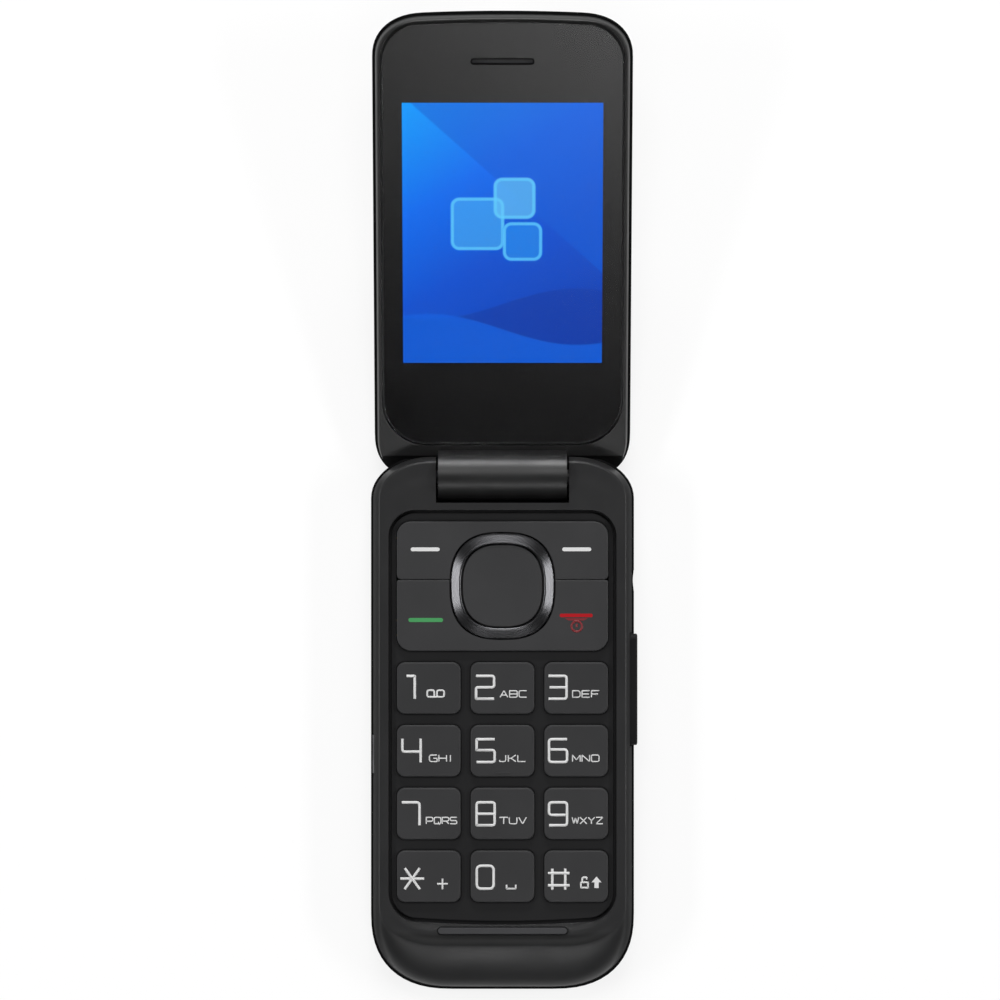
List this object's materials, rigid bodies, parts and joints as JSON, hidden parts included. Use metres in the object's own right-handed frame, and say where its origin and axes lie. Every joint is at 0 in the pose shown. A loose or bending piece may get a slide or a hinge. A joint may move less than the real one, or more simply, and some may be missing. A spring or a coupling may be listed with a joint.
{
  "type": "flip phone",
  "caption": "Clamshell mobile phone with a hinged display lid, a numeric keypad with function keys and a navigation ring, a side volume rocker and a removable battery cover.",
  "frame": {"origin": "centre of the base's rear face, on the surface that the open phone lies on", "axes": "+X to the right of the keypad, +Y from the chin towards the lid, +Z out of the keypad"},
  "size_m": [0.0526, 0.1915, 0.0281],
  "materials": {
    "housing_plastic": "fine matt texture",
    "panel_plastic": "matt",
    "key_plastic": "satin",
    "ring_metal": "dark metallised, brushed round",
    "lens_acrylic": "gloss, black printed border",
    "screen_glass": "lit display",
    "steel": "satin",
    "silicone": "matt",
    "board_laminate": "solder mask",
    "battery_wrap": "satin wrap",
    "magnet_metal": "plated",
    "flex_film": "satin film",
    "black_rubber": "matt",
    "mesh_cloth": "fine mesh"
  },
  "bodies": {
    "base": {"front_housing": "housing_plastic", "rear_housing": "housing_plastic", "keypad_panel": "panel_plastic", "keypad_mat": "silicone", "dome_sheet": "flex_film", "main_board": "board_laminate", "battery": "battery_wrap", "battery_connector": "steel", "sim_socket": "steel", "shield_can": "steel", "loudspeaker": "magnet_metal", "vibration_motor": "steel", "antenna": "flex_film", "microphone": "steel", "usb_port": "steel", "audio_jack": "black_rubber", "side_key_board": "board_laminate", "lid_bumper": "black_rubber", "base_screw_top_left": "steel", "base_screw_top_right": "steel", "base_screw_foot_left": "steel", "base_screw_foot_right": "steel", "hinge_pin": "steel", "hinge_sleeve": "housing_plastic"},
    "lid": {"lid_inner_frame": "housing_plastic", "lid_outer_cover": "housing_plastic", "display_lens": "lens_acrylic", "lcd_module": "screen_glass", "lid_circuit_board": "board_laminate", "earpiece_mesh": "mesh_cloth", "earpiece_speaker": "magnet_metal", "camera_window": "lens_acrylic", "camera_module": "black_rubber", "lid_magnet": "magnet_metal", "lid_screw_left": "steel", "lid_screw_right": "steel", "hinge_module": "steel", "hinge_flex_cable": "flex_film"},
    "battery_door": {"battery_cover": "housing_plastic"},
    "key_1_body": {"key_1": "key_plastic"},
    "key_2_body": {"key_2": "key_plastic"},
    "key_3_body": {"key_3": "key_plastic"},
    "key_4_body": {"key_4": "key_plastic"},
    "key_5_body": {"key_5": "key_plastic"},
    "key_6_body": {"key_6": "key_plastic"},
    "key_7_body": {"key_7": "key_plastic"},
    "key_8_body": {"key_8": "key_plastic"},
    "key_9_body": {"key_9": "key_plastic"},
    "key_star_body": {"key_star": "key_plastic"},
    "key_0_body": {"key_0": "key_plastic"},
    "key_hash_body": {"key_hash": "key_plastic"},
    "ok_key_body": {"ok_key": "key_plastic"},
    "nav_collar_body": {"nav_collar": "silicone"},
    "nav_ring_body": {"nav_ring": "ring_metal"},
    "soft_keys_body": {"soft_keys": "key_plastic"},
    "call_end_keys_body": {"call_end_keys": "key_plastic"},
    "volume_key_body": {"volume_key": "key_plastic"}
  },
  "joints": [
    {"name": "lid_hinge", "type": "hinge", "parent": "base", "child": "lid", "pos_m": [0, 0.04835, 0.008], "axis": [1, 0, 0], "range_deg": [0, 165]},
    {"name": "key_1_press", "type": "slide", "parent": "base", "child": "key_1_body", "axis": [0, 0, -1], "range_m": [0, 0.0003], "stiffness_N_per_m": 400},
    {"name": "key_2_press", "type": "slide", "parent": "base", "child": "key_2_body", "axis": [0, 0, -1], "range_m": [0, 0.0003], "stiffness_N_per_m": 400},
    {"name": "key_3_press", "type": "slide", "parent": "base", "child": "key_3_body", "axis": [0, 0, -1], "range_m": [0, 0.0003], "stiffness_N_per_m": 400},
    {"name": "key_4_press", "type": "slide", "parent": "base", "child": "key_4_body", "axis": [0, 0, -1], "range_m": [0, 0.0003], "stiffness_N_per_m": 400},
    {"name": "key_5_press", "type": "slide", "parent": "base", "child": "key_5_body", "axis": [0, 0, -1], "range_m": [0, 0.0003], "stiffness_N_per_m": 400},
    {"name": "key_6_press", "type": "slide", "parent": "base", "child": "key_6_body", "axis": [0, 0, -1], "range_m": [0, 0.0003], "stiffness_N_per_m": 400},
    {"name": "key_7_press", "type": "slide", "parent": "base", "child": "key_7_body", "axis": [0, 0, -1], "range_m": [0, 0.0003], "stiffness_N_per_m": 400},
    {"name": "key_8_press", "type": "slide", "parent": "base", "child": "key_8_body", "axis": [0, 0, -1], "range_m": [0, 0.0003], "stiffness_N_per_m": 400},
    {"name": "key_9_press", "type": "slide", "parent": "base", "child": "key_9_body", "axis": [0, 0, -1], "range_m": [0, 0.0003], "stiffness_N_per_m": 400},
    {"name": "key_star_press", "type": "slide", "parent": "base", "child": "key_star_body", "axis": [0, 0, -1], "range_m": [0, 0.0003], "stiffness_N_per_m": 400},
    {"name": "key_0_press", "type": "slide", "parent": "base", "child": "key_0_body", "axis": [0, 0, -1], "range_m": [0, 0.0003], "stiffness_N_per_m": 400},
    {"name": "key_hash_press", "type": "slide", "parent": "base", "child": "key_hash_body", "axis": [0, 0, -1], "range_m": [0, 0.0003], "stiffness_N_per_m": 400},
    {"name": "ok_key_press", "type": "slide", "parent": "base", "child": "ok_key_body", "axis": [0, 0, -1], "range_m": [0, 0.0003], "stiffness_N_per_m": 400},
    {"name": "nav_up_down", "type": "hinge", "parent": "base", "child": "nav_collar_body", "pos_m": [0, 0.02695, 0.0092], "axis": [1, 0, 0], "range_deg": [-1.2, 1.2], "stiffness_Nm_per_rad": 0.05},
    {"name": "nav_left_right", "type": "hinge", "parent": "nav_collar_body", "child": "nav_ring_body", "pos_m": [0, 0.02695, 0.0092], "axis": [0, 1, 0], "range_deg": [-1.2, 1.2], "stiffness_Nm_per_rad": 0.05},
    {"name": "soft_keys_rock", "type": "hinge", "parent": "base", "child": "soft_keys_body", "pos_m": [0, 0.03395, 0.0099], "axis": [0, 1, 0], "range_deg": [-1, 1], "stiffness_Nm_per_rad": 0.05},
    {"name": "call_end_keys_rock", "type": "hinge", "parent": "base", "child": "call_end_keys_body", "pos_m": [0, 0.02105, 0.0099], "axis": [0, 1, 0], "range_deg": [-1, 1], "stiffness_Nm_per_rad": 0.05},
    {"name": "volume_rock", "type": "hinge", "parent": "base", "child": "volume_key_body", "pos_m": [0.0256, 0.0065, 0.0077], "axis": [0, 0, 1], "range_deg": [-1.2, 1.2], "stiffness_Nm_per_rad": 0.05},
    {"name": "battery_cover_off", "type": "slide", "parent": "base", "child": "battery_door", "axis": [0, 0, -1], "range_m": [0, 0.012]}
  ]
}
